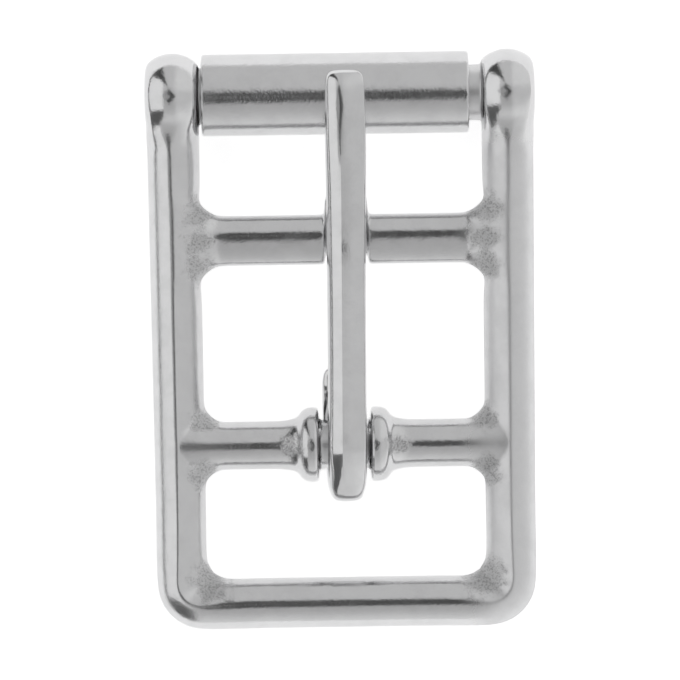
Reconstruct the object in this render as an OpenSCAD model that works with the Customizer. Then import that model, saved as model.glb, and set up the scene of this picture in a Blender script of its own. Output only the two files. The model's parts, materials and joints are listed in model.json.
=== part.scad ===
// Roller girth buckle for a 25 mm strap, lying on its back.
// X runs along the roller, Y from the foot bar to the roller, Z up out of the front.
// The origin is on the surface it lies on, under the middle of the whole buckle.

/* [Frame] */
// Length from the foot bar to the top of the bosses
length = 52.4; // [50:0.2:56]
// Width over the two bosses
width = 35.3; // [34.7:0.1:36.3]
// Clear width for the strap, between the bosses
strap_gap = 25.6; // [25.0:0.1:26.0]
// Thickness of the side bars where they leave the bosses
side_d = 4.78; // [4.66:0.02:4.8]
// Thickness of the foot bar and of the side bars beside it
foot_d = 4.56; // [4.4:0.02:4.64]
// Width of the mid bar, which is flatter than the others
mid_d = 4.54; // [4.4:0.02:4.6]
// Thickness of the mid bar, from front to back
mid_h = 2.6; // [2.4:0.1:3]
// Thickness of the tongue bar
tongue_bar_d = 4.34; // [4.2:0.02:4.4]
// Outer radius of the two foot corners, in the plan
corner_r = 4.2; // [3.9:0.1:5]
// Distance of the mid bar from the middle of the buckle, towards the roller
mid_y = 9.08; // [8.6:0.04:9.4]
// Distance of the tongue bar from the middle of the buckle, towards the foot bar
tongue_y = 9.53; // [9.23:0.05:9.83]

/* [Bosses and collars] */
// Radius of the bosses
boss_r = 3.95; // [3.9:0.05:4.2]
// Radius of the rounded rim of a boss
boss_edge = 1.9; // [1.5:0.1:2]
// Radius of the two collars that keep the tongue in place
collar_r = 3.4; // [3.1:0.1:3.6]
// Thickness of one collar
collar_w = 1.6; // [1.4:0.1:1.8]
// Gap between the two collars
collar_gap = 4.8; // [4.6:0.1:5.2]

/* [Roller] */
// Outer diameter of the roller
roller_d = 7.42; // [7.2:0.02:7.6]
// Length of the roller
roller_len = 24.2; // [23.6:0.1:24.6]
// Diameter of the bar that the roller turns on
pin_d = 5.05; // [4.8:0.05:5.3]
// How far the roller has slid from the middle towards the left boss
roller_slid = 0.42; // [0:0.02:0.5]

/* [Tongue] */
// Clearance round the bar, for the roller and for the tongue
clearance = 0.1; // [0.08:0.01:0.14]
// Gap that stays between the resting tongue and the roller
rest_gap = 0.12; // [0.1:0.01:0.2]
// Distance from the tongue bar to the tip of the tongue
tongue_reach = 33.7; // [33:0.1:34.4]

/* [Hidden] */
$fn = 96;

// All the bars share one level, so the bosses and the tongue's bend touch the surface
axis_z = boss_r;
roller_y = length / 2 - boss_r;
foot_y = -length / 2 + foot_d / 2;
tongue_bar_y = -tongue_y;
boss_w = (width - strap_gap) / 2;
boss_x = (width + strap_gap) / 4;
pin_r = pin_d / 2;
mid_r = mid_d / 2;
foot_r = foot_d / 2;
journal_r = 2.25;

// How far a cut runs past the metal, and how far a bar runs into the next one
over = 1;
into = 0.8;

// The side bars lean a little, so they stand closer together at the foot. The foot corners'
// places are whole hundredths, so that the bars end exactly where the corners start.
lean = 0.38;
bend_r = corner_r - foot_r;
bend_y = foot_y + bend_r;
bend_x = round(100 * (boss_x - (roller_y - bend_y) * tan(lean) - bend_r)) / 100;
side_foot_x = bend_x + bend_r;
// How close the section of a foot corner comes to the axis it turns about, inside the web
pole = 0.05;
// Distance from the bosses' axis to the side bars' upper ends, inside the bosses
side_end = 0.5;

// How far the webs that round the inner corners of the windows sink into the bars they join
web_inset = 0.12;

// Columns of the table of window corners
EDGE = 0; // place of the bar's edge along the buckle
RADIUS = 1; // radius of the two corners on that edge
ABOVE = 2; // whether the window lies on the roller's side of the bar
WEB = 3; // half thickness of the web
window_corners = [
    [mid_y + mid_r, 2.8, true, 1.1],
    [mid_y - mid_r, 3.0, false, 1.1],
    [tongue_bar_y + tongue_bar_d / 2, 2.6, true, 1.9],
    [tongue_bar_y - tongue_bar_d / 2, 2.3, false, 1.9],
    [foot_y + foot_r, 2.2, true, 1.9],
];

// Seat of the tongue, where the mid bar is dented and its metal stands out to the roller.
// The two heights are measured from the bar's axis.
seat_x = 0.42;
seat_w = 3.88;
seat_drawn_up = 0.8;
seat_stands_out = 1.6;
seat_corner = 0.9;
seat_taper = 0.3;
seat_top_z = 1;
seat_bottom_z = -1;

// Flare that runs from a collar out along the tongue bar
flare_w = 1.2;
flare_rise = 0.32;
flare_sunk = 0.1;

// Tongue: its bore, the number of sides of its rounded sections and how square these are,
// and the height of its tip's underside over the bar's axis
bore_r = journal_r + clearance;
tongue_sides = 20;
squareness = 3;
tip_under = roller_d / 2 + rest_gap;

// Columns of the shank's table
ALONG = 0; // distance from the tongue bar
UNDER = 1; // height of the underside over the bar's axis
THICK = 2; // thickness
WIDE = 3; // width
SHIFT = 4; // distance of the middle from the centre of the buckle
shank = [
    [tongue_reach, tip_under + 0.55, 0.30, 2.00, 0.44],
    [tongue_reach - 0.1, tip_under + 0.32, 0.76, 2.70, 0.44],
    [tongue_reach - 0.3, tip_under + 0.16, 1.10, 3.12, 0.44],
    [tongue_reach - 0.7, tip_under + 0.05, 1.38, 3.40, 0.44],
    [tongue_reach - 1.8, tip_under, 1.62, 3.50, 0.45],
    [29.2, tip_under - 0.24, 1.78, 3.64, 0.46],
    [26.4, tip_under - 0.86, 1.92, 3.70, 0.46],
    [22.6, tip_under - 1.90, 2.08, 3.60, 0.44],
    [18.8, tip_under - 2.62, 2.18, 3.54, 0.40],
    [15.0, tip_under - 2.64, 2.24, 3.50, 0.36],
    [8.0, tip_under - 2.10, 2.34, 3.48, 0.30],
    [3.0, tip_under - 1.70, 2.40, 3.48, 0.24],
];

// Columns of the table of the bend round the bar
TURN = 0; // angle round the bar, from the front by way of the foot
WALL = 1; // thickness of the metal round the bar
BEND_WIDE = 2; // width
BEND_SHIFT = 3; // distance of the middle from the centre of the buckle
bend = [
    [0, 2.42, 3.48, 0.22],
    [18, 2.45, 3.48, 0.21],
    [36, 2.50, 3.50, 0.20],
    [54, 2.56, 3.52, 0.19],
    [72, 2.60, 3.52, 0.18],
    [90, 2.58, 3.50, 0.16],
    [108, 2.44, 3.46, 0.12],
    [126, 2.20, 3.42, 0.06],
    [144, 1.92, 3.40, 0.00],
    [162, 1.70, 3.38, -0.08],
    [180, 1.60, 3.36, -0.16],
    [198, 1.52, 3.36, -0.24],
    [216, 1.46, 3.36, -0.30],
];

// The end of the bend rises to the back of the shank. Its table has the bend's last two
// columns, after two points: their distance from the tongue bar and height over its axis.
INNER = 0; // point on the inner face
OUTER = 1; // point on the outer face
return_end = [
    [[2.60, -0.72], [3.66, -1.70], 3.36, -0.32],
    [[4.05, 0.92], [5.06, -0.06], 3.36, -0.32],
    [[4.90, 1.72], [5.46, 0.48], 3.34, -0.32],
    [[5.70, 1.98], [5.84, 0.70], 3.30, -0.32],
    [[6.50, 2.00], [6.52, 0.86], 3.10, -0.32],
    [[7.00, 1.84], [7.00, 1.06], 2.40, -0.32],
    [[7.15, 1.60], [7.15, 1.30], 1.20, -0.32],
];

// Points on an arc, from one angle to another
function arc(centre, r, from, to, steps) =
    [for (i = [0:steps]) let (a = from + (to - from) * i / steps)
        centre + r * [cos(a), sin(a)]];

// A rounded section across the tongue, from its inner to its outer point
function section(inner, outer, wide, shift) =
    [for (k = [0:tongue_sides - 1])
        let (a = 360 * (k + 0.5) / tongue_sides,
             u = sign(cos(a)) * pow(abs(cos(a)), 2 / squareness) * wide / 2,
             v = 0.5 + sign(sin(a)) * pow(abs(sin(a)), 2 / squareness) / 2,
             p = inner + v * (outer - inner))
        [shift + u, p[0], p[1]]];

function shank_section(row) =
    section([row[ALONG], row[UNDER]], [row[ALONG], row[UNDER] + row[THICK]],
        row[WIDE], row[SHIFT]);

// The bend's inner face starts inside the bore, which is cut out of it afterwards
function bend_section(row) =
    let (out = [-sin(row[TURN]), cos(row[TURN])])
    section((bore_r - clearance) * out, (bore_r + row[WALL]) * out,
        row[BEND_WIDE], row[BEND_SHIFT]);

function end_section(row) =
    section(row[INNER], row[OUTER], row[BEND_WIDE], row[BEND_SHIFT]);

// A closed skin through a list of sections
module loft(rings) {
    n = len(rings[0]);
    last = len(rings) - 1;
    polyhedron(
        points = [for (ring = rings) for (p = ring) p],
        faces = concat(
            [[for (k = [0:n - 1]) k]],
            [[for (k = [n - 1:-1:0]) last * n + k]],
            [for (i = [0:last - 1]) for (k = [0:n - 1])
                [i * n + k, (i + 1) * n + k, (i + 1) * n + (k + 1) % n, i * n + (k + 1) % n]]));
}

// A round bar along X, from one end to the other
module bar_x(r, from, to) {
    translate([from, 0, 0]) rotate([0, 90, 0]) cylinder(h = to - from, r = r);
}

// A profile turned about X: its first number is the radius, its second the place along X
module turned_x() {
    rotate([0, 90, 0]) rotate_extrude() children();
}

// One side bar with its foot corner, on the right
module side_rail() {
    run = roller_y - side_end - bend_y;
    translate([bend_x, bend_y, axis_z]) {
        rotate([0, 0, -90]) rotate_extrude(angle = 90 - lean)
            intersection() {
                translate([bend_r, 0]) circle(r = foot_r);
                translate([pole, -foot_r - over]) square([corner_r, foot_d + 2 * over]);
            }
        rotate([0, 0, -lean]) translate([bend_r, 0, 0])
            rotate([-90, 0, 0]) cylinder(h = run, r1 = foot_r, r2 = side_d / 2);
    }
}

// One boss, centred on the origin with its axis along X
module boss() {
    half = boss_w / 2;
    turned_x() polygon(concat(
        [[0, -half]],
        arc([boss_r - boss_edge, -half + boss_edge], boss_edge, -90, 0, 8),
        arc([boss_r - boss_edge, half - boss_edge], boss_edge, 0, 90, 8),
        [[0, half]]));
}

// One collar, on the right, with its flare
module collar() {
    rim = collar_w / 2;
    in_x = collar_gap / 2;
    out_x = in_x + collar_w + flare_w;
    bar_r = tongue_bar_d / 2;
    turned_x() polygon(concat(
        [[0, in_x]],
        arc([collar_r - rim, in_x + rim], rim, -90, 60, 8),
        [[bar_r + flare_rise, out_x - 2 * flare_w / 3], [bar_r - flare_sunk, out_x], [0, out_x]]));
}

// A round web in a window's corner: turn is the way from the corner into the window, r the
// corner's radius, and half is half of the web's thickness
module web(x, y, turn, r, half) {
    translate([x, y, axis_z]) rotate([0, 0, turn])
        translate([r - web_inset, r - web_inset, 0]) rotate([0, 0, 180])
            rotate_extrude(angle = 90) translate([r + half, 0]) circle(r = half);
}

// Inner edge of a side bar at a place along the buckle
function inner_x(y) =
    let (part = (y - bend_y) / (roller_y - bend_y))
    side_foot_x + (boss_x - side_foot_x) * part - foot_r - (side_d - foot_d) / 2 * part;

// Two mirrored webs: above a bar in the window over it, or below a bar
module web_pair(y, r, above, half) {
    web(-inner_x(y), y, above ? 0 : 270, r, half);
    web(inner_x(y), y, above ? 90 : 180, r, half);
}

// Half of the outline of the seat's metal, from the bar's middle to where it stands out
function seat_half() =
    let (half = seat_w / 2)
    [[half, 0], [half, mid_r - seat_taper],
     [half - seat_taper, mid_r + seat_stands_out - seat_corner / 2],
     [half - seat_corner, mid_r + seat_stands_out]];

// The mid bar with the tongue's seat
module mid_bar() {
    half = seat_w / 2;
    end_x = (boss_x + side_foot_x) / 2;
    out = seat_half();
    difference() {
        translate([-end_x, 0, 0]) rotate([0, 90, 0])
            linear_extrude(height = 2 * end_x) scale([mid_h / mid_d, 1]) circle(r = mid_r);
        translate([seat_x - half, -mid_r - over, -mid_r - over])
            cube([seat_w, over + seat_drawn_up, mid_d + 2 * over]);
        translate([seat_x - half, -mid_r - over, seat_top_z])
            cube([seat_w, mid_d + 2 * over, mid_r]);
    }
    translate([seat_x, 0, seat_bottom_z]) linear_extrude(height = seat_top_z - seat_bottom_z)
        polygon(concat(out, [for (i = [len(out) - 1:-1:0]) [-out[i][0], out[i][1]]]));
}

// The one casting
module frame() {
    color("silver") {
        for (m = [0, 1]) mirror([m, 0, 0]) {
            side_rail();
            translate([boss_x, roller_y, axis_z]) boss();
            translate([0, tongue_bar_y, axis_z]) collar();
        }
        translate([0, foot_y, axis_z]) bar_x(foot_r, -bend_x, bend_x);
        translate([0, roller_y, axis_z]) bar_x(pin_r, -strap_gap / 2 - into, strap_gap / 2 + into);
        translate([0, mid_y, axis_z]) mid_bar();
        translate([0, tongue_bar_y, axis_z]) {
            for (m = [0, 1]) mirror([m, 0, 0])
                bar_x(tongue_bar_d / 2, collar_gap / 2 + into, side_foot_x);
            bar_x(journal_r, -(collar_gap + into) / 2, (collar_gap + into) / 2);
        }
        for (row = window_corners) web_pair(row[EDGE], row[RADIUS], row[ABOVE], row[WEB]);
    }
}

// A sleeve rolled from sheet, with its butt seam at the back
module roller() {
    r = roller_d / 2;
    bevel = 0.2;
    seam = 0.12;
    bore = pin_r + clearance;
    color("lightgray") translate([-roller_slid, roller_y, axis_z])
        difference() {
            turned_x() polygon([
                [bore, -roller_len / 2], [r - bevel, -roller_len / 2],
                [r, -roller_len / 2 + bevel], [r, roller_len / 2 - bevel],
                [r - bevel, roller_len / 2], [bore, roller_len / 2],
            ]);
            translate([-roller_len / 2 - over, -seam / 2, -r - over])
                cube([roller_len + 2 * over, seam, r - bore / 2 + over]);
        }
}

// One bar, bent round the tongue bar and drawn out to a blunt tip
module tongue() {
    color("gainsboro") translate([0, tongue_bar_y, axis_z]) difference() {
        loft(concat(
            [for (row = shank) shank_section(row)],
            [for (row = bend) bend_section(row)],
            [for (row = return_end) end_section(row)]));
        bar_x(bore_r, -collar_gap, collar_gap);
    }
}

frame();
roller();
tongue();
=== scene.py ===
"""Looks of the saddle buckle: one polished casting, a rolled sleeve and a bent tongue.

A piece is shaped in millimetres round the bars' own level, and becomes metres as its object is made.
"""

import sys
import json
import logging
import math
from collections.abc import Callable, Iterable, Sequence
from dataclasses import dataclass, field
from enum import Enum

import bmesh
import bpy
from bmesh.types import BMEdge, BMFace, BMVert
from bpy.types import ID, Material, Node, NodeSocket, NodeTree, Object
from mathutils import Matrix, Vector


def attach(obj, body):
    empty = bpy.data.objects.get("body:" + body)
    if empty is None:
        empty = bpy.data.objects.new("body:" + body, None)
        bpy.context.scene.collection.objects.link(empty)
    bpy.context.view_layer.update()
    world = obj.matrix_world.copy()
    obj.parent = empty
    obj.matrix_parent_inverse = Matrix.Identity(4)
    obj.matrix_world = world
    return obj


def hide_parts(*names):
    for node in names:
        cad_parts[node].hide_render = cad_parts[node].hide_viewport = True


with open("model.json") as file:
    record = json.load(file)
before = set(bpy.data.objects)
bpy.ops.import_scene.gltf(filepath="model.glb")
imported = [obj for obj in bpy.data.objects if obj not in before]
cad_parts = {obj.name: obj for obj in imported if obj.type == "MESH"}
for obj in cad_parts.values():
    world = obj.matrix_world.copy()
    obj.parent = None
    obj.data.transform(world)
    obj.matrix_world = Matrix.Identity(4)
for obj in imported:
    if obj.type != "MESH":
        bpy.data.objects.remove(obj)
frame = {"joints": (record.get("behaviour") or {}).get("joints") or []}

LOG = logging.getLogger("saddle_buckle")
MM = 0.001
X, Y, Z = range(3)

Pair = tuple[float, float]
Triple = tuple[float, float, float]
Floats = tuple[float, ...]


def axis_of(body: str) -> Floats:
    """Place of the axis that a body turns about, in millimetres."""
    joint = next(j for j in frame["joints"] if j["child"] == body)
    return tuple(c / MM for c in joint["pos_m"])


LEVEL = axis_of("roller")[Z]  # height of every bar's axis over the floor


def clamped(value: float) -> float:
    """The value, held between 0 and 1."""
    return min(1.0, max(0.0, value))


class Slot(Enum):
    """The record's material slots."""

    CAST = "cast_steel"
    ROLLED = "rolled_steel"
    FORGED = "forged_steel"


class Sides(Enum):
    """How many sides the cage of a round section has."""

    BAR = 8
    TONGUE = 12
    BOSS = 16

    def drawn_in(self) -> float:
        """Share of the cage's radius that its rounded surface keeps."""
        return (2 + math.cos(2 * math.pi / self.value)) / 3


@dataclass(frozen=True)
class Station:
    """Where one ring of a bar stands and how its round section is drawn out.

    Its sizes are half sizes of the finished metal. Across is the side that lies to the left of
    the bar's direction in the plan.
    """

    at: Triple
    wide: float
    high: float
    turn: float = 0.0  # direction of the bar in the plan, in degrees
    full: float = 0.0  # how far the section goes from round towards square
    crown: float = 1.0  # share of its breadth that the highest metal keeps
    inner: float = 1.0  # stretch of the half on the right
    valley: float = 0.0  # share of its height that the half on the right loses
    mitre: float = 0.0  # how sharply the half on the right folds along this ring

    def placing(self) -> Matrix:
        """Works out where the ring lies.

        Returns:
            The matrix that takes the unit circle in the XY plane to the ring's place.
        """
        upright = Matrix(((0, 0, 1, 0), (1, 0, 0, 0), (0, 1, 0, 0), (0, 0, 0, 1)))
        size = Matrix.Diagonal((self.wide, self.high, 1.0, 1.0))
        turn = Matrix.Rotation(math.radians(self.turn), 4, "Z")
        return Matrix.Translation(self.at) @ turn @ upright @ size


def shown(name: str, data: ID) -> Object:
    """Adds an object to the scene.

    Args:
        name: its name.
        data: its mesh or camera.

    Returns:
        The object.
    """
    obj = bpy.data.objects.new(name, data)
    bpy.context.scene.collection.objects.link(obj)
    return obj


def round_off(obj: Object, levels: int) -> None:
    """Rounds a piece's cage by subdivision, in the mesh itself.

    Args:
        obj: the piece.
        levels: the levels of subdivision.
    """
    rounding = obj.modifiers.new("rounding", "SUBSURF")
    rounding.levels = rounding.render_levels = levels
    graph = bpy.context.evaluated_depsgraph_get()
    obj.data = bpy.data.meshes.new_from_object(
        obj.evaluated_get(graph), preserve_all_data_layers=True, depsgraph=graph
    )
    obj.modifiers.clear()


def mark(obj: Object, name: str, share: Callable[[Vector], float]) -> None:
    """Keeps a number in an attribute of each vertex of a piece.

    Args:
        obj: the piece.
        name: the attribute.
        share: gives the number for a vertex's place in millimetres.
    """
    layer = obj.data.attributes.new(name, "FLOAT", "POINT")
    layer.data.foreach_set("value", [share(v.co / MM) for v in obj.data.vertices])


class Skin:
    """A cage of four-sided faces, grown ring by ring, that subdivision rounds into metal."""

    TOUCH = 0.001  # vertices closer than this are one
    TIE = 0.1  # how near to a diagonal, or to a middle, a vertex counts as on it
    SLANTED = 0.45  # share of a section's fullness that its vertices on the diagonals get

    def __init__(self) -> None:
        """Starts an empty cage."""
        self.bm = bmesh.new()
        self.creases = self.bm.edges.layers.float.new("crease_edge")

    def whole(self) -> list[BMVert | BMEdge | BMFace]:
        """All the vertices, edges and faces so far."""
        return self.bm.verts[:] + self.bm.edges[:] + self.bm.faces[:]

    def ring(self, place: Station, sides: Sides = Sides.BAR, matrix: Matrix | None = None) -> list[BMVert]:
        """Adds one open ring.

        Args:
            place: its sizes and, without a matrix, its place.
            sides: the number of its sides.
            matrix: its place, where a station's own isn't enough.

        Returns:
            The ring's vertices.
        """
        half_side = Matrix.Rotation(math.pi / sides.value, 4, "Z")
        made = bmesh.ops.create_circle(
            self.bm, cap_ends=False, segments=sides.value, radius=1 / sides.drawn_in(), matrix=half_side
        )["verts"]
        side_on = {v: abs(v.co.x) - abs(v.co.y) for v in made}
        fuller, slanted = 1 + place.full, 1 + self.SLANTED * place.full
        for low, high, across, up in (
            (self.TIE, math.inf, 1, fuller),
            (-math.inf, -self.TIE, fuller * place.crown, 1),
            (-self.TIE, self.TIE, slanted, slanted),
        ):
            group = [v for v in made if low < side_on[v] <= high]
            bmesh.ops.scale(self.bm, vec=(across, up, 1), verts=group)
        inner = [v for v in made if v.co.x < 0]
        bmesh.ops.scale(self.bm, vec=(place.inner, 1 - place.valley, 1), verts=inner)
        self.crease(self.rim(inner), place.mitre)
        bmesh.ops.transform(self.bm, matrix=matrix or place.placing(), verts=made)
        return made

    @staticmethod
    def rim(ring: Iterable[BMVert]) -> list[BMEdge]:
        """Edges that run round a ring or an opening."""
        kept = set(ring)
        return list({e for v in kept for e in v.link_edges if e.other_vert(v) in kept})

    def crease(self, edges: Iterable[BMEdge], sharp: float) -> None:
        """Makes the rounded metal fold along some edges of the cage.

        Args:
            edges: the edges.
            sharp: how sharply it folds, from 0 to 1.
        """
        for e in edges:
            e[self.creases] = sharp
            e.smooth = sharp < 1

    def join(self, first: Iterable[BMVert], second: Iterable[BMVert]) -> None:
        """Closes the gap between two rings with one band of faces."""
        bmesh.ops.bridge_loops(self.bm, edges=self.rim(first) + self.rim(second))

    def run(
        self, start: list[BMVert] | None, places: Iterable[Station], sides: Sides = Sides.BAR
    ) -> list[BMVert]:
        """Grows a bar through a list of stations.

        Args:
            start: the ring or opening that the bar grows from, or None for a free end.
            places: the stations, in order.
            sides: the number of sides of each ring.

        Returns:
            The last ring.
        """
        last = start
        for place in places:
            ring = self.ring(place, sides)
            if last is not None:
                self.join(last, ring)
            last = ring
        return last

    def cap(self, ring: Iterable[BMVert]) -> None:
        """Closes a ring with one face."""
        bmesh.ops.contextual_create(self.bm, geom=self.rim(ring))

    def opening(self, low: Floats, high: Floats) -> list[BMVert]:
        """Cuts away the faces whose middles lie in a box.

        Args:
            low: the box's lowest corner.
            high: its highest corner.

        Returns:
            The vertices round the opening.
        """
        middles = ((f, f.calc_center_median()) for f in self.bm.faces)
        faces = [f for f, at in middles if all(a <= c <= b for a, c, b in zip(low, at, high))]
        around = {v for f in faces for v in f.verts}
        bmesh.ops.delete(self.bm, geom=faces, context="FACES")
        return [v for v in around if v.is_valid]

    def mirror(self) -> None:
        """Adds the other half, across the plane between left and right."""
        bmesh.ops.mirror(
            self.bm, geom=self.whole(), matrix=Matrix.Identity(4), merge_dist=self.TOUCH, axis="X"
        )
        bmesh.ops.remove_doubles(self.bm, verts=self.bm.verts[:], dist=self.TOUCH)

    def piece(self, name: str, levels: int = 0) -> Object:
        """Makes the cage an object in metres.

        Args:
            name: the object's name.
            levels: the levels of subdivision that round it.

        Returns:
            The object.
        """
        bmesh.ops.recalc_face_normals(self.bm, faces=self.bm.faces[:])
        open_edges = sum(1 for e in self.bm.edges if not e.is_manifold)
        LOG.info("%s: %d faces in the cage, %d open edges", name, len(self.bm.faces), open_edges)
        bmesh.ops.translate(self.bm, vec=(0, 0, LEVEL), verts=self.bm.verts[:])
        bmesh.ops.scale(self.bm, vec=(MM, MM, MM), verts=self.bm.verts[:])
        mesh = bpy.data.meshes.new(name)
        self.bm.to_mesh(mesh)
        self.bm.free()
        mesh.shade_smooth()
        obj = shown(name, mesh)
        if levels:
            round_off(obj, levels)
        return obj


@dataclass(frozen=True)
class Noise:
    """A noise: its coarsest swells per millimetre, its finer octaves and how strong these are."""

    scale: float
    detail: float = 2.0
    rough: float = 0.5


class Wiring:
    """Short ways to add and link nodes in one tree."""

    def __init__(self, tree: NodeTree) -> None:
        """Works on one node tree."""
        self.tree = tree

    def add(self, kind: str, inputs: dict[str | int, object] | None = None, **settings: object) -> Node:
        """Adds a node.

        Args:
            kind: the node's type.
            inputs: an output or a plain value for its inputs, by name or number.
            **settings: values of its properties.

        Returns:
            The node.
        """
        node = self.tree.nodes.new(kind)
        for name, value in settings.items():
            setattr(node, name, value)
        for key, value in (inputs or {}).items():
            self.feed(node.inputs[key], value)
        return node

    def feed(self, socket: NodeSocket, value: object) -> None:
        """Gives an input its value.

        Args:
            socket: the input.
            value: an output to link it to, or a plain value.
        """
        if isinstance(value, NodeSocket):
            self.tree.links.new(value, socket)
        else:
            socket.default_value = value

    def maths(self, kind: str, *values: object) -> NodeSocket:
        """Reckons with numbers.

        Args:
            kind: the operation of a Math node.
            *values: outputs or plain values that it works on.

        Returns:
            The result.
        """
        return self.add("ShaderNodeMath", dict(enumerate(values)), operation=kind).outputs[0]

    def ramp(
        self, value: object, low: float, high: float, to_low: float = 0.0, to_high: float = 1.0
    ) -> NodeSocket:
        """Smooth step of a value between two bounds.

        Args:
            value: what is mapped.
            low: the value that gives to_low.
            high: the value that gives to_high.
            to_low: the result below the bounds.
            to_high: the result above them.

        Returns:
            The mapped value.
        """
        inputs = dict(enumerate((value, low, high, to_low, to_high)))
        return self.add("ShaderNodeMapRange", inputs, interpolation_type="SMOOTHSTEP").outputs[0]

    def blend(self, share: object, first: object, second: object, kind: str = "FLOAT") -> NodeSocket:
        """Mixes two numbers or colours.

        Args:
            share: the second one's share.
            first: the first one.
            second: the second one.
            kind: FLOAT for numbers, RGBA for colours.

        Returns:
            The mix.
        """
        inputs = {"Factor": share, "A": first, "B": second}
        return self.add("ShaderNodeMix", inputs, data_type=kind).outputs["Result"]

    def noise(self, vector: object, noise: Noise) -> NodeSocket:
        """Looks up a noise.

        Args:
            vector: the place in it.
            noise: what it is like.

        Returns:
            Its value there, from 0 to 1.
        """
        size = {"Scale": noise.scale, "Detail": noise.detail, "Roughness": noise.rough}
        return self.add("ShaderNodeTexNoise", {"Vector": vector, **size}).outputs["Fac"]

    def scaled(self, vector: object, size: Sequence[float]) -> NodeSocket:
        """Makes a place in metres one in strokes.

        Args:
            vector: the place.
            size: strokes per millimetre along X, Y and Z.

        Returns:
            The scaled place.
        """
        scale = tuple(s / MM for s in size)
        return self.add("ShaderNodeMapping", {"Vector": vector, "Scale": scale}).outputs[0]


def start_group(
    name: str, vectors: Sequence[str], numbers: Sequence[str], outputs: Sequence[str]
) -> tuple[Wiring, Node]:
    """Starts a shader node group.

    Args:
        name: the group's name.
        vectors: names of its inputs that are places.
        numbers: names of its inputs that are numbers.
        outputs: names of its outputs, which are numbers.

    Returns:
        The wiring of its tree, and its input node.
    """
    tree = bpy.data.node_groups.new(name, "ShaderNodeTree")
    for labels, way, kind in (
        (vectors, "INPUT", "NodeSocketVector"),
        (numbers, "INPUT", "NodeSocketFloat"),
        (outputs, "OUTPUT", "NodeSocketFloat"),
    ):
        for label in labels:
            tree.interface.new_socket(label, in_out=way, socket_type=kind)
    wiring = Wiring(tree)
    return wiring, wiring.add("NodeGroupInput")


@dataclass(frozen=True)
class PolishedSkin:
    """Slow waves, fine strokes and specks of tumbled and buffed steel, in millimetres."""

    waves: Noise = Noise(0.7, 1.0)
    lines: Noise = Noise(1.0, 3.0, 0.6)
    specks: Noise = Noise(4.5, 2.0, 0.6)
    haze: Noise = Noise(0.45, 4.0, 0.65)
    hazy: Pair = (0.35, 0.7)  # values of its noise between which the haze comes up

    def tree(self) -> NodeTree:
        """Builds the node group.

        Returns:
            Its tree. Height is in millimetres, and Haze goes from 0 to 1.
        """
        wiring, given = start_group(
            "polished_skin", ("Vector", "Strokes"), ("Waves", "Lines", "Specks"), ("Height", "Haze")
        )
        place, strokes = given.outputs["Vector"], given.outputs["Strokes"]
        height: object = 0.0
        for name, vector, noise in (
            ("Waves", place, self.waves), ("Lines", strokes, self.lines), ("Specks", place, self.specks),
        ):
            height = wiring.maths("MULTIPLY_ADD", wiring.noise(vector, noise), given.outputs[name], height)
        haze = wiring.ramp(wiring.noise(place, self.haze), *self.hazy)
        wiring.add("NodeGroupOutput", {"Height": height, "Haze": haze})
        return wiring.tree


@dataclass(frozen=True)
class CastGrain:
    """Pitted skin that buffing leaves in the corners of a casting, in millimetres."""

    uneven: Noise = Noise(0.8)
    uneven_by: float = 0.7  # how much its edge wanders
    covered: Pair = (0.45, 0.8)  # values of the mask between which it starts
    grain: Noise = Noise(5.5, 3.0, 0.6)
    pitted: Pair = (0.52, 0.38)  # values of the grain between which pits start

    def tree(self) -> NodeTree:
        """Builds the node group.

        Returns:
            Its tree. Height is in millimetres, and Cover and Pits go from 0 to 1.
        """
        outputs = ("Height", "Cover", "Pits")
        wiring, given = start_group("cast_grain", ("Vector",), ("Mask", "Depth"), outputs)
        place = given.outputs["Vector"]
        uneven = wiring.maths("SUBTRACT", wiring.noise(place, self.uneven), 0.5)
        cover = wiring.maths("MULTIPLY_ADD", uneven, self.uneven_by, given.outputs["Mask"])
        cover = wiring.ramp(cover, *self.covered)
        grain = wiring.noise(place, self.grain)
        height = wiring.maths("MULTIPLY", grain, wiring.maths("MULTIPLY", cover, given.outputs["Depth"]))
        pits = wiring.maths("MULTIPLY", cover, wiring.ramp(grain, *self.pitted))
        wiring.add("NodeGroupOutput", {"Height": height, "Cover": cover, "Pits": pits})
        return wiring.tree


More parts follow.
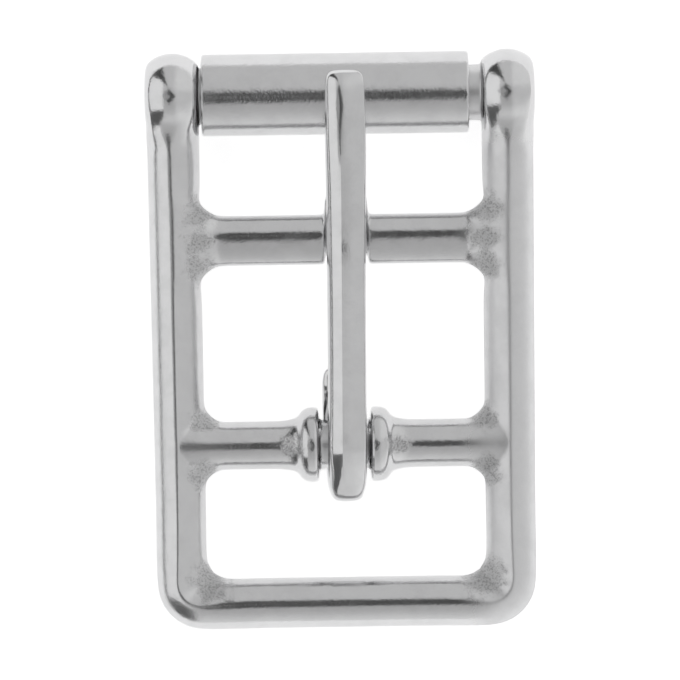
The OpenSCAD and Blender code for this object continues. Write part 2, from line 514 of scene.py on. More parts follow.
@dataclass(frozen=True)
class Steel:
    """A finish of stainless steel. Depths are in millimetres."""

    slot: Slot
    colour: Triple = (0.70, 0.70, 0.705)
    dull: float = 0.12  # roughness where it is brightest
    haze_dull: float = 0.07  # how much rougher it gets in patches
    haze_dark: float = 0.95  # share of its colour that it keeps there
    waves: float = 0.012
    lines: float = 0.001
    specks: float = 0.004
    stroke: Triple = (6.0, 0.8, 0.8)  # strokes per millimetre along X, Y and Z
    grain: float = 0.0  # depth of the cast skin in the corners
    grain_dull: float = 0.12
    grain_dark: float = 0.82
    pit_dark: float = 0.55
    worn_dull: float = 0.14

    def material(self, groups: dict[str, NodeTree]) -> Material:
        """Makes the finish.

        Args:
            groups: the shared node groups, by name.

        Returns:
            The material.
        """
        made = bpy.data.materials.new(self.slot.value)
        made.use_nodes = True
        made.node_tree.nodes.clear()
        wiring = Wiring(made.node_tree)
        place = wiring.add("ShaderNodeTexCoord").outputs["Object"]
        near = wiring.scaled(place, (1.0, 1.0, 1.0))
        inputs = {"Waves": self.waves, "Lines": self.lines, "Specks": self.specks}
        inputs |= {"Vector": near, "Strokes": wiring.scaled(place, self.stroke)}
        skin = wiring.add("ShaderNodeGroup", inputs, node_tree=groups["polished_skin"])
        height, haze = skin.outputs["Height"], skin.outputs["Haze"]
        rough = wiring.maths("MULTIPLY_ADD", haze, self.haze_dull, self.dull)
        darker = [(haze, self.haze_dark)]
        if self.grain:
            mask, worn = (
                wiring.add("ShaderNodeAttribute", attribute_name=name).outputs["Fac"]
                for name in ("cast_skin", "worn")
            )
            inputs = {"Vector": near, "Mask": mask, "Depth": self.grain}
            cast = wiring.add("ShaderNodeGroup", inputs, node_tree=groups["cast_grain"])
            height = wiring.maths("ADD", height, cast.outputs["Height"])
            rough = wiring.maths("MULTIPLY_ADD", cast.outputs["Cover"], self.grain_dull, rough)
            rough = wiring.maths("MULTIPLY_ADD", worn, self.worn_dull, rough)
            darker += [(cast.outputs["Cover"], self.grain_dark), (cast.outputs["Pits"], self.pit_dark)]
        colour: object = (*self.colour, 1)
        for share, kept in darker:
            colour = wiring.blend(share, colour, (*(kept * c for c in self.colour), 1), "RGBA")
        bump = wiring.add("ShaderNodeBump", {"Strength": 1.0, "Distance": MM, "Height": height})
        inputs = {"Base Color": colour, "Metallic": 1.0, "Roughness": rough, "Normal": bump.outputs[0]}
        shader = wiring.add("ShaderNodeBsdfPrincipled", inputs)
        wiring.add("ShaderNodeOutputMaterial", {"Surface": shader.outputs[0]})
        return made


@dataclass
class Part:
    """A piece of the buckle: its CAD node, which has its body's name, its steel and its cage."""

    node: str
    steel: Steel
    skin: Skin = field(default_factory=Skin, init=False)

    def build(self) -> Object:
        """Builds the piece, each kind of piece in its own way."""
        raise NotImplementedError

    def dress(self, obj: Object, groups: dict[str, NodeTree]) -> None:
        """Gives the piece its finish, and the place of its CAD node.

        Args:
            obj: the piece.
            groups: the shared node groups, by name.
        """
        obj.data.materials.append(self.steel.material(groups))
        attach(obj, self.node)
        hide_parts(self.node)


@dataclass
class Casting(Part):
    """The frame: side bars, foot bar, mid bar with its seat, tongue bar, bosses and pin."""

    levels: int = 3  # of subdivision

    pin_r: float = 2.525
    pin_rings: Pair = (1.0, 1 / 3)  # shares of the way from a boss to the middle
    boss_x: float = 15.225
    boss_y: float = axis_of("roller")[Y]
    # Half profile of a boss: place along the pin from the boss's middle, radius
    boss_profile: tuple[Pair, ...] = (
        (-2.95, 2.525), (-2.50, 2.55), (-2.40, 2.66), (-2.35, 2.90), (-1.80, 3.51), (0.0, 4.155),
        (1.80, 3.51), (2.35, 2.85), (2.43, 2.2), (2.42, 1.5), (2.41, 0.7),
    )
    # The boss's opening for the side bar: its half breadth, its distance from the boss's middle
    boss_open: Pair = (1.5, 3.0)
    # The opening's highest metal and its flanks: place across, height, way towards the foot
    shoulder: tuple[Triple, ...] = ((1.5, 2.7, 3.4), (2.42, 1.02, 3.85))

    side_r: float = 2.39
    side_foot_x: float = 14.93
    side_crowns: Pair = (0.45, 0.06)  # at the boss and at the foot
    swell: float = 0.14  # how much higher a side bar is at its boss
    swell_ends: float = 16.0
    left_lean: float = 0.1  # how far the left side bar's section leans outwards
    rail_rings: Floats = (
        17.6, 16.8, 16.0, 13.45, 12.55, 10.05, 8.10, 5.60, 4.6, 1.5, -3.0, -5.3, -6.20, -12.70, -13.6, -16.5,
    )
    # Openings in a side bar's inner face: highest ring, lowest ring, half height in its radii
    mid_open: Triple = (12.55, 5.60, 0.2)
    tongue_open: Triple = (-6.20, -12.70, 1.2)
    open_from: float = 0.3  # how near to the side bar's axis they come, in its radii

    foot_r: float = 2.28
    foot_y: float = -23.865
    foot_rings: Floats = (9.0, 4.5, 0.0)
    corner_r: float = 4.2
    bend_at: Pair = (13.01, -21.945)  # middle of a foot corner's outer arc
    window_foot_r: float = 2.2
    fan: int = 4  # bands of faces round a corner
    crown_late: int = 8  # how late round the corner the crown broadens
    valley: float = 0.22
    valley_keen: int = 4  # how close to the corner's middle the valley and the mitre stay
    mitre: float = 0.6
    mitre_keen: int = 8

    mid_y: float = 9.08
    mid_r: float = 2.27
    mid_high: float = 1.3
    mid_crest: float = 0.68  # how far its highest line lies towards the roller
    mid_full: float = 0.08
    mid_crown: float = 0.6
    mid_climb: Pair = (0.65, 0.75)  # how far its top runs into and up the side bars
    mid_rings: Floats = (11.5, 10.5, 6.0)
    # The seat: its middle and half length along the bar, and how far it stands to the roller
    seat_x: float = 0.42
    seat_half: float = 1.94
    seat_out: float = 1.2
    seat_wide: float = 2.67
    seat_high: float = 1.0
    seat_full: float = 0.45
    seat_before: Floats = (0.35, 0.06)  # distances of rings from its ends, outside
    seat_within: Floats = (0.02, 0.2, 1.2)  # and inside

    tongue_y: float = axis_of("tongue")[Y]
    fold: float = 0.85  # how sharply the tongue bar's top meets the side bars
    fold_half: float = 0.92
    fold_high: float = 2.28
    fold_back: float = 0.06
    # Half profile of the tongue bar from the opening inwards: place along the bar, radius
    bar_profile: tuple[Pair, ...] = (
        (11.55, 2.17), (10.6, 2.17), (7.0, 2.17), (5.8, 2.18), (5.3, 2.24), (4.9, 2.32), (4.5, 2.42),
        (4.25, 2.56), (4.07, 2.82), (3.82, 3.14), (3.45, 3.34), (2.95, 3.40), (2.6, 3.38), (2.42, 3.26),
        (2.35, 2.9), (2.33, 2.5), (2.22, 2.27), (1.8, 2.25), (0.0, 2.25),
    )

    # Corners where buffing leaves the cast skin: place on the right in the plan, reach
    rough_corners: tuple[Triple, ...] = (
        (12.9, 11.6, 3.4), (13.0, 9.0, 3.0), (12.9, 6.5, 3.4), (12.6, -7.2, 2.9), (12.7, -12.2, 3.2),
        (12.4, -21.8, 4.2), (4.7, -9.53, 2.4),
    )
    journal_dull: float = 1.5
    journal_reach: float = 2.4  # how far from the tongue bar's middle the tongue rubs it
    pin_margin: Pair = (2.3, 1.0)  # from a boss's middle, and towards the foot
    side_dull: Pair = (0.5, 1.8)  # of the left and the right side bar
    dull_from: float = 10.0  # distance from the buckle's middle where that starts
    dull_fades: Pair = (3.0, 4.0)  # lengths over which it does, across and along

    def _down(self, y: float) -> float:
        """Share of the way down a side bar, from the boss to the foot corner."""
        return (self.boss_y - y) / (self.boss_y - self.bend_at[Y])

    def _rail_x(self, y: float) -> float:
        """Place of the right side bar's axis across the buckle."""
        return self.boss_x - (self.boss_x - self.side_foot_x) * self._down(y)

    def _rail_r(self, y: float) -> float:
        """Radius of a side bar at a place along the buckle."""
        return self.side_r - (self.side_r - self.foot_r) * self._down(y)

    def _rail(self, y: float) -> Station:
        """Works out a ring of the right side bar.

        Args:
            y: its place along the buckle.

        Returns:
            The ring.
        """
        radius = self._rail_r(y)
        top, foot = self.side_crowns
        risen = clamped((y - self.swell_ends) / (self.rail_rings[0] - self.swell_ends))
        return Station(
            (self._rail_x(y), y, 0), radius, radius + self.swell * risen**2,
            turn=-90, crown=top - (top - foot) * self._down(y),
        )

    def _corner(self) -> list[Station]:
        """Works out the rings that fan round the right foot corner.

        Returns:
            The rings, from the side bar to the foot bar.
        """
        bend = Vector(self.bend_at)
        inside = self.foot_r + self.window_foot_r
        window = Vector((self.side_foot_x - inside, self.foot_y + inside))
        spread = Sides.BOSS.drawn_in()
        crown = self.side_crowns[1]
        places = []
        for step in range(self.fan + 1):
            swing = -math.pi / 2 * step / self.fan
            arm = Vector((math.cos(swing), math.sin(swing)))
            outer = bend + arm * self.corner_r / spread
            inner = window + arm * self.window_foot_r / spread
            across = (outer - inner).normalized()
            half = self.foot_r / across.dot(arm)
            centre = outer - across * half
            middle = math.sin(math.pi * step / self.fan)
            ring = Station(
                (centre.x, centre.y, 0), half, self.foot_r,
                turn=math.degrees(math.atan2(across.y, across.x)) - 90,
                inner=((outer - inner).length - half) / half,
                crown=crown + (1 - crown) * (step / self.fan) ** self.crown_late,
                valley=self.valley * middle**self.valley_keen,
                mitre=self.mitre * middle**self.mitre_keen,
            )
            places.append(ring)
        return places

    def _boss(self) -> list[BMVert]:
        """Grows the pin and the boss on the right.

        Returns:
            The vertices round the boss's opening for the side bar.
        """
        pin = [(-self.boss_x * share, self.pin_r) for share in self.pin_rings]
        profile = [
            Station((self.boss_x + x, self.boss_y, 0), r, r) for x, r in pin + list(self.boss_profile)
        ]
        self.skin.cap(self.skin.run(None, profile, Sides.BOSS))
        half, gap = self.boss_open
        around = self.skin.opening(
            (self.boss_x - half, 0, -self.side_r), (self.boss_x + half, self.boss_y - gap, self.side_r)
        )
        middles = [v for v in around if abs(v.co.x - self.boss_x) < Skin.TIE]
        around = [v for v in around if v not in middles]
        bmesh.ops.dissolve_verts(self.skin.bm, verts=middles)
        for v in around:
            across, up, out = self.shoulder[abs(v.co.z) < self.side_r / 2]
            across = math.copysign(across, v.co.x - self.boss_x)
            v.co = (self.boss_x + across, self.boss_y - out, math.copysign(up, v.co.z))
        return around

    def _right_half(self) -> None:
        """Grows the pin, the boss, the side bar, the foot bar and the tongue bar on the right."""
        skin = self.skin
        foot = [Station((x, self.foot_y, 0), self.foot_r, self.foot_r, turn=180) for x in self.foot_rings]
        skin.run(self._boss(), [self._rail(y) for y in self.rail_rings] + self._corner() + foot)
        start = self._opening(self.tongue_open)
        crests = [v for v in start if abs(v.co.z) > self.side_r / 2]
        for v in crests:
            v.co.y = self.tongue_y + math.copysign(self.fold_half, v.co.y - self.tongue_y)
            v.co.x -= self.fold_back
            v.co.z = math.copysign(self.fold_high, v.co.z)
        skin.crease((e for v in crests for e in v.link_edges if e.other_vert(v) in start), self.fold)
        skin.run(start, [Station((x, self.tongue_y, 0), r, r, turn=180) for x, r in self.bar_profile])

    def _opening(self, ends: Triple, side: int = 1) -> list[BMVert]:
        """Opens a side bar's inner face for a cross bar.

        Args:
            ends: the opening's highest ring, its lowest ring and its half height.
            side: 1 for the right side bar, -1 for the left one.

        Returns:
            The vertices round the opening.
        """
        high, low, reach = ends
        x = self._rail_x((high + low) / 2)
        near, far = sorted(side * (x - radii * self.side_r) for radii in (self.open_from, 2))
        reach *= self.side_r
        return self.skin.opening((near, low, -reach), (far, high, reach))

    def _bar(self, x: float) -> Station:
        """Works out a ring of the mid bar itself.

        Args:
            x: its place across the buckle.

        Returns:
            The ring.
        """
        wide = self.mid_r + self.mid_crest
        return Station(
            (x, self.mid_y + self.mid_crest, 0), wide, self.mid_high, turn=180,
            full=self.mid_full, crown=self.mid_crown, inner=(self.mid_r - self.mid_crest) / wide,
        )

    def _seat(self, x: float) -> Station:
        """A ring of the seat's flattened metal, which stands out to the roller."""
        at = (x, self.mid_y + self.seat_out, 0)
        return Station(at, self.seat_wide, self.seat_high, turn=180, full=self.seat_full)

    def _mid_bar(self) -> None:
        """Grows the mid bar through its seat, from the right side bar to the left one."""
        start = self._opening(self.mid_open)
        end = self._opening(self.mid_open, -1)
        inwards, upwards = self.mid_climb
        for v in start + end:
            if v.co.z > 0:
                v.co.x += math.copysign(inwards, v.co.x)
                v.co.z += upwards
        right, left = self.seat_x + self.seat_half, self.seat_x - self.seat_half
        rings = [self._bar(x) for x in self.mid_rings]
        rings += [self._bar(right + gap) for gap in self.seat_before]
        rings += [self._seat(right - gap) for gap in self.seat_within]
        rings += [self._seat(left + gap) for gap in reversed(self.seat_within)]
        rings += [self._bar(left - gap) for gap in reversed(self.seat_before)]
        rings += [self._bar(-x) for x in reversed(self.mid_rings)]
        self.skin.join(self.skin.run(start, rings), end)

    def _skin_left(self, place: Vector) -> float:
        """How much of the cast skin buffing has left at a place, from 0 to 1."""
        at = (abs(place.x), place.y)
        return max(clamped(1 - math.dist((x, y), at) / reach) for x, y, reach in self.rough_corners)

    def _worn(self, place: Vector) -> float:
        """How dull handling has made a place: the right side bar most, then the rubbed journals.

        Args:
            place: the place, in millimetres.

        Returns:
            The dullness, where 1 is that of the steel's worn places.
        """
        rim = self.boss_y - self.pin_r
        on_pin = abs(place.x) < self.boss_x - self.pin_margin[X] and place.y > rim - self.pin_margin[Y]
        if on_pin or math.dist((place.x, place.y), (0, self.tongue_y)) < self.journal_reach:
            return self.journal_dull
        out = clamped((abs(place.x) - self.dull_from) / self.dull_fades[X])
        low = clamped((rim - place.y) / self.dull_fades[Y])
        return low * out * self.side_dull[place.x > 0]

    def build(self) -> Object:
        """Builds the casting.

        Returns:
            The finished piece.
        """
        self._right_half()
        self.skin.mirror()
        lean = Matrix.Identity(4)
        lean[X][Z] = -self.left_lean
        inner, top = self.side_r - self.side_foot_x, self.boss_y - self.boss_open[1]
        left = [v for v in self.skin.bm.verts if v.co.x < inner and v.co.y < top]
        bmesh.ops.transform(self.skin.bm, matrix=lean, verts=left)
        self._mid_bar()
        obj = self.skin.piece("buckle_frame", self.levels)
        mark(obj, "cast_skin", self._skin_left)
        mark(obj, "worn", self._worn)
        return obj


@dataclass
class Sleeve(Part):
    """The roller: sheet rolled round the pin, with its butt seam at the back."""

    radius: float = 3.71
    bore: float = 2.9
    length: float = 24.2
    slid: float = axis_of("roller")[X]
    y: float = axis_of("roller")[Y] + 0.08  # the loose sleeve lies a little off the pin's axis
    crest: float = 0.063  # how far the rolled sheet leans towards the foot
    flat: float = 0.94  # share of its height that it keeps
    bevel: float = 0.2
    bevel_steps: int = 3
    seam: float = 0.12
    support: float = 11.8  # place of the ring that keeps the long faces straight
    steps: int = 160
    sharp: float = 24.0  # angle in degrees from which an edge isn't smoothed

    def build(self) -> Object:
        """Spins the sheet's long section round the pin.

        Returns:
            The finished piece.
        """
        bm = self.skin.bm
        wall = self.radius - self.bore
        middle = self.bore + wall / 2
        made = bmesh.ops.create_grid(bm, x_segments=1, y_segments=1, size=0.5)["verts"]
        bmesh.ops.scale(bm, vec=(self.length, wall, 1), verts=made)
        bmesh.ops.translate(bm, vec=(0, middle, 0), verts=made)
        for x in (-self.support, self.support):
            bmesh.ops.bisect_plane(bm, geom=self.skin.whole(), plane_co=(x, 0, 0), plane_no=(1, 0, 0))
        end = (self.support + self.length / 2) / 2
        rims = [v for v in bm.verts if abs(v.co.x) > end and v.co.y > middle]
        bmesh.ops.bevel(
            bm, geom=rims, offset=self.bevel, offset_type="OFFSET", segments=self.bevel_steps, profile=0.5,
            affect="VERTICES", material=-1,
        )
        open_angle = self.seam / self.radius
        to_seam = Matrix.Rotation((open_angle - math.pi) / 2, 3, "X")
        bmesh.ops.rotate(bm, cent=(0, 0, 0), matrix=to_seam, verts=bm.verts[:])
        bmesh.ops.spin(
            bm, geom=self.skin.whole(), cent=(0, 0, 0), axis=(1, 0, 0),
            angle=2 * math.pi - open_angle, steps=self.steps, use_merge=False,
        )
        out_of_round = Matrix.Diagonal((1, 1, self.flat, 1))
        out_of_round[Y][Z] = -self.crest
        placing = Matrix.Translation((self.slid, self.y, 0)) @ out_of_round
        bmesh.ops.transform(bm, matrix=placing, verts=bm.verts[:])
        obj = self.skin.piece("buckle_roller")
        obj.data.set_sharp_from_angle(angle=math.radians(self.sharp))
        return obj


@dataclass
class Prong(Part):
    """The tongue: one bar bent round the tongue bar, its end risen to the back of the shank."""

    levels: int = 3  # of subdivision
    axis_y: float = axis_of("tongue")[Y]
    bore: float = 2.47
    full: float = 0.42
    # Its ridged section, in shares of the half width and half thickness: the ridge's place, the
    # points that round its left side, and the fall of the face on the right of the ridge
    ridge: float = -0.24
    left_round: tuple[Pair, ...] = ((-0.66, 0.80), (-0.99, 0.2))
    fall: float = 0.19
    edge: float = 0.6  # share of the half width or half thickness from which metal is at an edge
    tip_fall: float = 0.4  # the fall at the tip
    bend_tipped: float = 0.45  # how much of the tip's fall the bend has
    falls_from: Pair = (22.0, 29.0)  # distances from the bar between which it changes
    folds: Pair = (1.0, 0.6)
    keen_from: float = 27.0  # distance from the bar at which the ridge starts to be sharp
    keen_at_tip: float = 0.3
    ridge_ends: float = 70.0  # angle round the bar at which the ridge has run out
    ridge_fades: float = 26.0  # angle over which it does
    # Distance from the tongue bar, height of the underside, thickness, width, middle across
    shank: tuple[Floats, ...] = (
        (33.70, 4.20, 0.24, 1.60, 0.44), (33.56, 4.06, 0.76, 2.60, 0.44), (33.26, 3.99, 1.11, 3.20, 0.44),
        (32.76, 3.95, 1.35, 3.46, 0.44), (31.8, 3.91, 1.53, 3.52, 0.45), (29.2, 3.66, 1.71, 3.64, 0.46),
        (26.4, 2.97, 1.92, 3.70, 0.46), (22.6, 1.93, 2.08, 3.60, 0.44), (18.8, 1.21, 2.18, 3.54, 0.40),
        (15.0, 1.19, 2.24, 3.50, 0.36), (8.0, 1.73, 2.34, 3.48, 0.30), (3.0, 2.13, 2.26, 3.48, 0.24),
    )
    # Angle round the bar, thickness, width, middle across
    bend: tuple[Floats, ...] = (
        (0, 2.08, 3.48, 0.22), (11, 1.93, 3.48, 0.21), (28, 1.82, 3.50, 0.20), (46, 1.94, 3.46, 0.20),
        (61, 2.32, 3.40, 0.19), (68, 2.58, 3.24, 0.19), (75, 2.86, 2.84, 0.18), (88, 2.78, 3.0, 0.16),
        (108, 2.45, 3.40, 0.12), (126, 2.10, 3.42, 0.06), (144, 1.82, 3.40, 0.00), (162, 1.60, 3.38, -0.08),
        (180, 1.50, 3.36, -0.16), (198, 1.42, 3.36, -0.24), (216, 1.36, 3.36, -0.30),
    )
    # Inner point, outer point, width; the end's middle stays where the bend's last one is
    end: tuple[Floats, ...] = (
        (2.60, -0.72, 3.66, -1.70, 3.36), (4.05, 0.92, 5.06, -0.06, 3.36), (4.90, 1.68, 5.46, 0.48, 3.34),
        (5.70, 1.92, 5.84, 0.70, 3.30), (6.50, 1.94, 6.52, 0.86, 3.10), (6.95, 1.80, 6.95, 1.06, 2.40),
        (7.10, 1.56, 7.10, 1.30, 1.20),
    )

    def _ring(
        self, inner: Sequence[float], outer: Sequence[float], wide: float, shift: float,
        ridged: float = 1.0, tipped: float = 0.0,
    ) -> tuple[list[BMVert], list[BMVert]]:
        """Adds a ring across the tongue.

        Args:
            inner: the point of the section that is nearest the bar: along the tongue, up.
            outer: the point farthest from it.
            wide: the section's width.
            shift: its middle across the buckle.
            ridged: how much of the ridge it has.
            tipped: how much of the tip's steeper fall it has.

        Returns:
            The ring's vertices, and those of them on its ridge and its right edge.
        """
        up = (Vector(outer) - Vector(inner)) / 2
        mid = (Vector(outer) + Vector(inner)) / 2
        along = Vector((up.y, -up.x)).normalized()
        rows = (
            (wide / 2, 0, 0, shift), (0, up.x, along.x, self.axis_y + mid.x), (0, up.y, along.y, mid.y),
            (0, 0, 0, 1),
        )
        flat = Station((0, 0, 0), 1, 1, full=self.full)
        made = self.skin.ring(flat, Sides.TONGUE, Matrix.Identity(4))
        left = sorted((v for v in made if v.co.x < -self.edge and v.co.y > 0), key=lambda v: -v.co.y)
        face = sorted((v for v in made if v.co.y > self.edge and v not in left), key=lambda v: v.co.x)
        ridge, right = face[0], face[2]
        ridge.co.x += (self.ridge - ridge.co.x) * ridged
        fall = self.fall + (self.tip_fall - self.fall) * tipped
        for v in face[1:]:
            v.co.y -= ridged * fall * (v.co.x - self.ridge)
        for v, place in zip(left, self.left_round):
            v.co.xy = v.co.xy.lerp(Vector(place), ridged)
        bmesh.ops.transform(self.skin.bm, matrix=Matrix(rows), verts=made)
        return made, [ridge, right]

    def build(self) -> Object:
        """Grows the tongue from its tip round the bend to its other end.

        Returns:
            The finished piece.
        """
        skin = self.skin
        rings = []
        keen = []
        near, far = self.falls_from
        for along, under, thick, wide, shift in self.shank:
            tipped = max(clamped((along - near) / (far - near)), self.bend_tipped * (1 - along / near))
            inner, outer = (along, under), (along, under + thick)
            rings.append(self._ring(inner, outer, wide, shift, tipped=tipped))
            keen.append(1.0 if along < self.keen_from else self.keen_at_tip)
        for turn, wall, wide, shift in self.bend:
            out = Vector((-math.sin(math.radians(turn)), math.cos(math.radians(turn))))
            inner, outer = out * self.bore, out * (self.bore + wall)
            ridged = clamped((self.ridge_ends - turn) / self.ridge_fades)
            rings.append(self._ring(inner, outer, wide, shift, ridged, self.bend_tipped))
            keen.append(ridged)
        for inner_y, inner_z, outer_y, outer_z, wide in self.end:
            rings.append(self._ring((inner_y, inner_z), (outer_y, outer_z), wide, shift, 0.0))
            keen.append(0.0)
        for i, ((first, starts), (second, ends)) in enumerate(zip(rings, rings[1:])):
            skin.join(first, second)
            for start, end, fold in zip(starts, ends, self.folds):
                skin.crease([skin.bm.edges.get((start, end))], fold * min(keen[i : i + 2]))
        skin.cap(rings[0][0])
        skin.cap(rings[-1][0])
        return skin.piece("buckle_tongue", self.levels)


class Way(Enum):
    """Ways to say in which direction something is seen, in degrees but for the last three."""

    AROUND = "from the right, anticlockwise"
    TILT = "from straight up"
    SIDE = "from straight up towards the right"
    ALONG = "from straight up towards the roller"
    LEAN = "degrees that metal leans to the right where it shows this direction"
    PITCH = "degrees that it leans towards the roller there"
    FAN = "degrees around for each degree of tilt, from the point where the arm starts"
    RIGHTWARD = "share of the direction that goes to the right"
    ROLLERWARD = "share of it that goes to the roller"


@dataclass(frozen=True)
class Card:
    """A light or dark card round the table: its light, and its bounds with their softness."""

    light: float
    bounds: tuple[tuple[Way, float, float, float], ...]


@dataclass
class Studio:
    """Pale floor, soft light all round, a few cards, and the camera over the table."""

    floor_half: float = 1.5
    paper: tuple[float, float, float, float] = (0.8, 0.8, 0.8, 1.0)
    paper_rough: float = 0.9
    floor_glow: Pair = (0.55, 0.65)  # the light of the floor itself, in the metal and seen
    backdrop: float = 1.0  # what is seen beyond the floor

    camera_height: float = 350.0
    view_width: float = 61.8
    sensor: float = 36.0
    roll: float = 0.87
    middle: Pair = (-0.3011, -0.0681)  # of the picture, across and along
    seen_from_to: Pair = (0.01, 10.0)

    overhead: float = 0.62
    # Where there is more light, from which value to which it grows, and by how much
    growths: tuple[tuple[Way, float, float, float], ...] = (
        (Way.ALONG, -20.0, -100.0, 0.41), (Way.ROLLERWARD, 0.05, 0.4, 0.18), (Way.RIGHTWARD, 0.1, 0.4, 0.2),
    )
    cards: tuple[Card, ...] = (
        Card(1.15, ((Way.LEAN, -90, -13.8, 0.7), (Way.PITCH, -20, 80, 0.8), (Way.TILT, -9, 86, 1.0))),
        Card(0.10, ((Way.AROUND, 110, 250, 5.0), (Way.TILT, 83.0, 91.5, 0.5))),
        Card(0.15, ((Way.LEAN, -90, -13.8, 0.7), (Way.PITCH, -90, -20, 0.8))),
        Card(0.08, ((Way.FAN, -0.07, 0.315, 0.03), (Way.TILT, 17, 91, 1.0))),
    )
    arm_root: Pair = (117.0, 17.0)  # direction around and tilt where the dark arm starts
    hatch: Pair = (-7.7, -2.0)  # place of the dark diamond overhead, in degrees
    hatch_half: Pair = (25.0, 20.0)
    hatch_soft: float = 0.05  # how soft its edge is, in its half sizes
    hatch_light: float = 0.10
    core_shift: float = 0.34  # how far its lighter middle lies to the left, likewise
    core_half: float = 0.55
    core_soft: float = 0.06
    core_dark: float = 0.25  # share of the diamond's dark that its middle has

    def _floor(self) -> None:
        """A wide pale floor that glows a little, so it stays even."""
        bm = bmesh.new()
        bmesh.ops.create_grid(bm, x_segments=1, y_segments=1, size=self.floor_half)
        mesh = bpy.data.meshes.new("floor")
        bm.to_mesh(mesh)
        bm.free()
        floor = shown("floor", mesh)
        made = bpy.data.materials.new("floor_paper")
        made.use_nodes = True
        wiring = Wiring(made.node_tree)
        seen = wiring.add("ShaderNodeLightPath").outputs["Is Camera Ray"]
        shader = made.node_tree.nodes["Principled BSDF"]
        for name, value in (
            ("Base Color", self.paper), ("Roughness", self.paper_rough), ("Specular IOR Level", 0.0),
            ("Emission Color", (1, 1, 1, 1)), ("Emission Strength", wiring.blend(seen, *self.floor_glow)),
        ):
            wiring.feed(shader.inputs[name], value)
        floor.data.materials.append(made)

    def _ways(self, wiring: Wiring) -> dict[Way, NodeSocket]:
        """Works out the direction that light comes from.

        Args:
            wiring: the world's wiring.

        Returns:
            The direction, in each way to say it.
        """
        direction = wiring.add("ShaderNodeTexCoord").outputs["Generated"]
        x, y, z = wiring.add("ShaderNodeSeparateXYZ", {0: direction}).outputs
        tilt = wiring.maths("DEGREES", wiring.maths("ARCCOSINE", z))
        around = wiring.maths("DEGREES", wiring.maths("ARCTAN2", y, x))
        below = wiring.maths("LESS_THAN", around, 0.0)
        around = wiring.maths("ADD", around, wiring.maths("MULTIPLY", below, 360.0))
        side, along = (wiring.maths("DEGREES", wiring.maths("ARCTAN2", value, z)) for value in (x, y))
        past_root = [
            wiring.maths("SUBTRACT", value, start) for value, start in zip((around, tilt), self.arm_root)
        ]
        # Metal that shows a direction faces halfway between it and straight up. The little that is
        # added to 2 keeps the halfway length from zero straight down.
        halfway = wiring.maths("SQRT", wiring.maths("MULTIPLY_ADD", z, 2.0, 2.0001))
        lean = wiring.maths("DEGREES", wiring.maths("ARCSINE", wiring.maths("DIVIDE", x, halfway)))
        pitch = wiring.maths("DEGREES", wiring.maths("ARCTAN2", y, wiring.maths("ADD", z, 1.0)))
        return {
            Way.AROUND: around, Way.TILT: tilt, Way.SIDE: side, Way.ALONG: along,
            Way.LEAN: lean, Way.PITCH: pitch, Way.FAN: wiring.maths("DIVIDE", *past_root),
            Way.RIGHTWARD: x, Way.ROLLERWARD: y,
        }

    def _hatch(self, wiring: Wiring, ways: dict[Way, NodeSocket]) -> NodeSocket:
        """Works out how dark the diamond overhead makes a direction.

        Args:
            wiring: the world's wiring.
            ways: the direction, in each way to say it.

        Returns:
            The share of the diamond's dark.
        """
        offsets = [
            wiring.maths("DIVIDE", wiring.maths("SUBTRACT", ways[way], centre), half)
            for way, centre, half in zip((Way.SIDE, Way.ALONG), self.hatch, self.hatch_half)
        ]
        far = wiring.maths("ADD", *(wiring.maths("ABSOLUTE", offset) for offset in offsets))
        dark = wiring.ramp(far, 1 + self.hatch_soft, 1 - self.hatch_soft)
        offsets[0] = wiring.maths("ADD", offsets[0], self.core_shift)
        far = wiring.maths("ADD", *(wiring.maths("ABSOLUTE", offset) for offset in offsets))
        low, high = self.core_half - self.core_soft, self.core_half + self.core_soft
        return wiring.maths("MULTIPLY", dark, wiring.ramp(far, low, high, self.core_dark, 1.0))

    def _world(self) -> None:
        """Soft light all round, with the cards and the dark diamond overhead."""
        world = bpy.data.worlds.new("studio")
        bpy.context.scene.world = world
        world.use_nodes = True
        world.node_tree.nodes.clear()
        wiring = Wiring(world.node_tree)
        ways = self._ways(wiring)
        light: object = self.overhead
        for way, low, high, more in self.growths:
            light = wiring.maths("ADD", light, wiring.ramp(ways[way], low, high, 0.0, more))
        for card in self.cards:
            cover: object = 1.0
            for way, low, high, soft in card.bounds:
                for edge, inwards in ((low, soft), (high, -soft)):
                    inside = wiring.ramp(ways[way], edge - inwards, edge + inwards)
                    cover = wiring.maths("MULTIPLY", cover, inside)
            light = wiring.blend(cover, light, card.light)
        light = wiring.blend(self._hatch(wiring, ways), light, self.hatch_light)
        seen = wiring.add("ShaderNodeLightPath").outputs["Is Camera Ray"]
        strength = wiring.blend(seen, light, self.backdrop)
        background = wiring.add("ShaderNodeBackground", {"Strength": strength})
        wiring.add("ShaderNodeOutputWorld", {"Surface": background.outputs[0]})

    def _camera(self) -> None:
        """Camera straight over the buckle, turned a little as in the photograph."""
        data = bpy.data.cameras.new("over_the_table")
        data.sensor_width = self.sensor
        data.lens = self.sensor * (self.camera_height - LEVEL) / self.view_width
        data.clip_start, data.clip_end = self.seen_from_to
        camera = shown("over_the_table", data)
        camera.location = tuple(MM * c for c in (*self.middle, self.camera_height))
        camera.rotation_euler = (0, 0, -math.radians(self.roll))
        bpy.context.scene.camera = camera

    def build(self) -> None:
        """Sets up the floor, the light and the camera."""
        self._floor()
        self._world()
        self._camera()
        scene = bpy.context.scene
        scene.view_settings.view_transform = "Standard"
        scene.view_settings.look = "None"


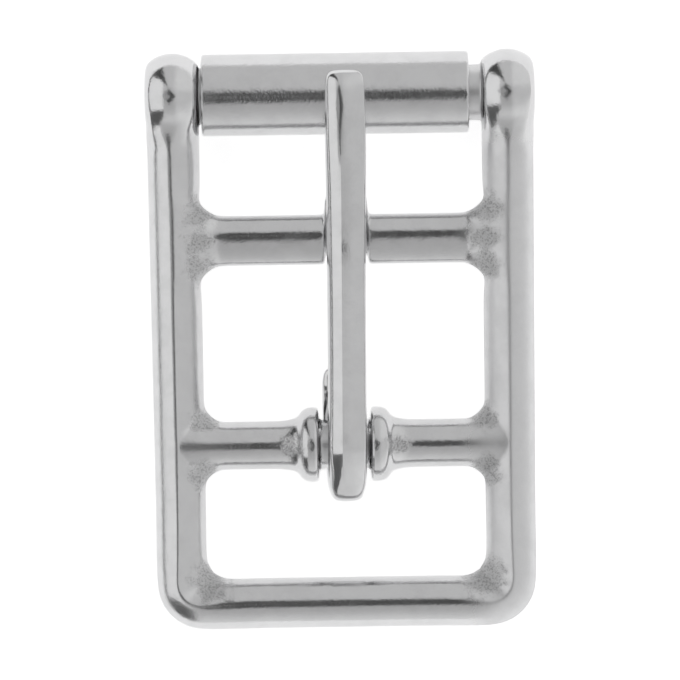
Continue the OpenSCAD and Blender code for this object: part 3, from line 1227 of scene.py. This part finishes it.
def main() -> None:
    """Builds the buckle and its studio."""
    logging.basicConfig(level=logging.INFO, format="%(name)s: %(message)s", stream=sys.stdout)
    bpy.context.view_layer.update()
    groups = {"polished_skin": PolishedSkin().tree(), "cast_grain": CastGrain().tree()}
    for part in (
        Casting("frame", Steel(Slot.CAST, specks=0.01, grain=0.07)),
        Sleeve("roller", Steel(Slot.ROLLED, dull=0.13, lines=0.014, stroke=(5.0, 3.0, 3.0))),
        Prong("tongue", Steel(Slot.FORGED, waves=0.005)),
    ):
        piece = part.build()
        part.dress(piece, groups)
        LOG.info("%s: dressed in %s, rides on %s", piece.name, part.steel.slot.value, part.node)
    Studio().build()


if __name__ == "__main__":
    main()
